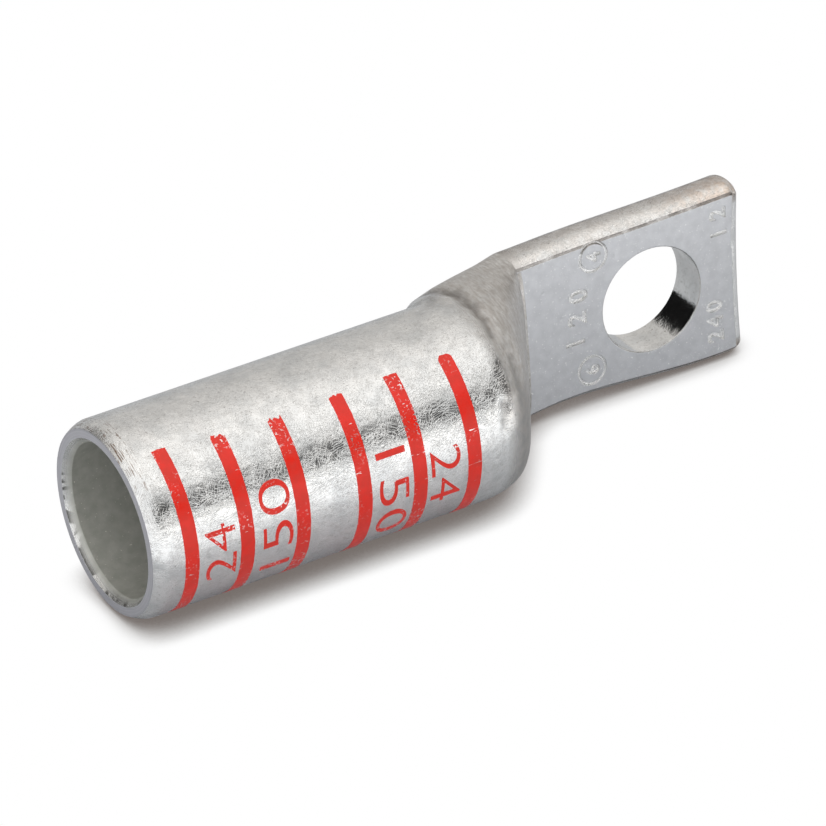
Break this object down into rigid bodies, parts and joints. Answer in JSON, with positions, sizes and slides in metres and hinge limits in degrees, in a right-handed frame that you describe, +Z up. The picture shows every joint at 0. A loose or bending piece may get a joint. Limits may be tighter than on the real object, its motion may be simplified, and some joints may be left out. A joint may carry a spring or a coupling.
{
  "type": "compression cable lug",
  "caption": "Long-barrel one-hole compression lug of tin-plated copper: a round barrel for stranded cable and a flat tongue with a bolt hole, with red bands that mark the crimps.",
  "frame": {"origin": "on the barrel's axis, at the mouth where the cable goes in", "axes": "+X along the barrel from the mouth to the tongue, +Z up as the lug lies at rest, -Y the side that the tongue's front face looks to"},
  "size_m": [0.0909, 0.0251, 0.0243],
  "materials": {
    "tinned_copper": "satin tin plate over copper",
    "red_ink": "printed ink, semi-matt"
  },
  "bodies": {
    "root": {"lug_body": "tinned_copper", "crimp_band_1": "red_ink", "crimp_band_2": "red_ink", "crimp_band_3": "red_ink", "crimp_band_4": "red_ink", "crimp_band_5": "red_ink", "crimp_band_6": "red_ink"}
  },
  "joints": []
}
